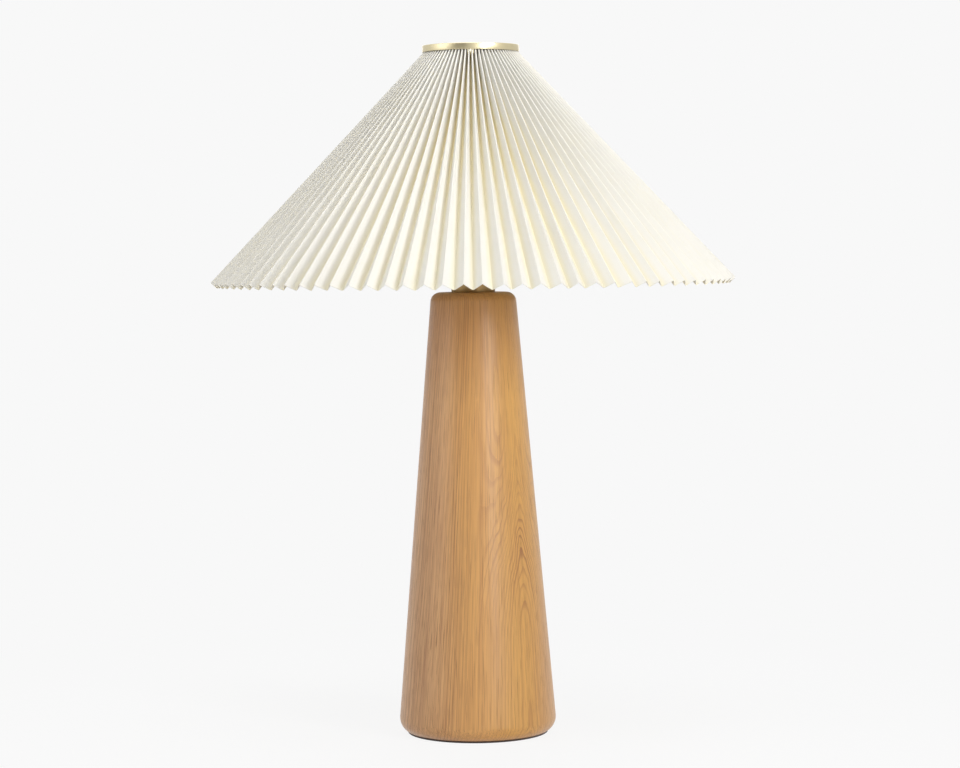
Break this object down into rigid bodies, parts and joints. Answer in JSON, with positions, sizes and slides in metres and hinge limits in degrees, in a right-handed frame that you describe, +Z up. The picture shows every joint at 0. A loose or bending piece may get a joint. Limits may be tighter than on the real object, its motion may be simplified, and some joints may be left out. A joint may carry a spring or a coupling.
{
  "type": "table lamp",
  "caption": "Table lamp with a tapered turned-wood column, brass neck, harp with locking sleeves, turn-knob bulb holder and a pleated cone shade under a brass ring.",
  "frame": {"origin": "centre of the underside of the felt pad, on the surface that the lamp stands on", "axes": "+Z up along the lamp's axis, -Y to the front where the switch knob points, +Y to the rear where the cord leaves, +X to the lamp's right as seen from the front"},
  "size_m": [0.4826, 0.4824, 0.635],
  "materials": {
    "felt": "dark brown felt",
    "wood": "honey oak with a thin satin lacquer",
    "brass": "pale satin brass",
    "dark_brass": "aged brass",
    "socket_brass": "thin brass sheet, rolled",
    "steel": "zinc plated",
    "wire_steel": "ivory coated wire",
    "card": "pressed fibre card",
    "black_moulding": "black thermoset moulding",
    "solder": "dull solder",
    "black_glass": "black glass insulator",
    "bulb_metal": "bright rolled thread",
    "opal_glass": "soft white coated glass",
    "clear_glass": "clear glass mount",
    "shade_sheet": "ivory fabric bonded to stiff card, folded"
  },
  "bodies": {
    "root": {"felt_pad": "felt", "wood_column": "wood", "cord_bushing": "dark_brass", "bottom_washer": "steel", "bottom_nut": "steel", "threaded_pipe": "steel", "neck_cup": "brass", "harp_saddle": "brass", "saddle_locknut": "brass", "harp": "brass", "harp_stud": "brass", "socket_cap": "socket_brass", "cap_set_screw": "steel", "socket_shell": "socket_brass", "socket_liner": "card", "socket_insulator": "black_moulding", "terminal_screws": "socket_brass", "screw_shell": "socket_brass", "centre_contact": "socket_brass"},
    "shade": {"shade_ring": "brass", "pleated_sheet": "shade_sheet", "spider": "wire_steel", "upper_wire_ring": "wire_steel", "frame_ribs": "wire_steel", "lower_wire_ring": "wire_steel"},
    "finial": {"finial": "brass"},
    "switch": {"switch_shaft": "socket_brass", "switch_knob": "black_moulding"},
    "bulb": {"bulb_contact": "solder", "bulb_insulator": "black_glass", "bulb_cap": "bulb_metal", "bulb_glass": "opal_glass", "bulb_stem": "clear_glass"},
    "sleeve_left": {"harp_sleeve_left": "brass"},
    "sleeve_right": {"harp_sleeve_right": "brass"}
  },
  "joints": [
    {"name": "shade_turn", "type": "hinge", "parent": "root", "child": "shade", "pos_m": [0, 0, 0.6147], "axis": [0, 0, 1], "continuous": true},
    {"name": "finial_turn", "type": "hinge", "parent": "root", "child": "finial", "pos_m": [0, 0, 0.62], "axis": [0, 0, 1], "continuous": true},
    {"name": "switch_turn", "type": "hinge", "parent": "root", "child": "switch", "pos_m": [0, -0.012, 0.4525], "axis": [0, -1, 0], "continuous": true},
    {"name": "bulb_turn", "type": "hinge", "parent": "root", "child": "bulb", "pos_m": [0, 0, 0.47], "axis": [0, 0, 1], "continuous": true},
    {"name": "sleeve_left_slide", "type": "slide", "parent": "root", "child": "sleeve_left", "axis": [0, 0, 1], "range_m": [0, 0.01]},
    {"name": "sleeve_right_slide", "type": "slide", "parent": "root", "child": "sleeve_right", "axis": [0, 0, 1], "range_m": [0, 0.01]}
  ]
}
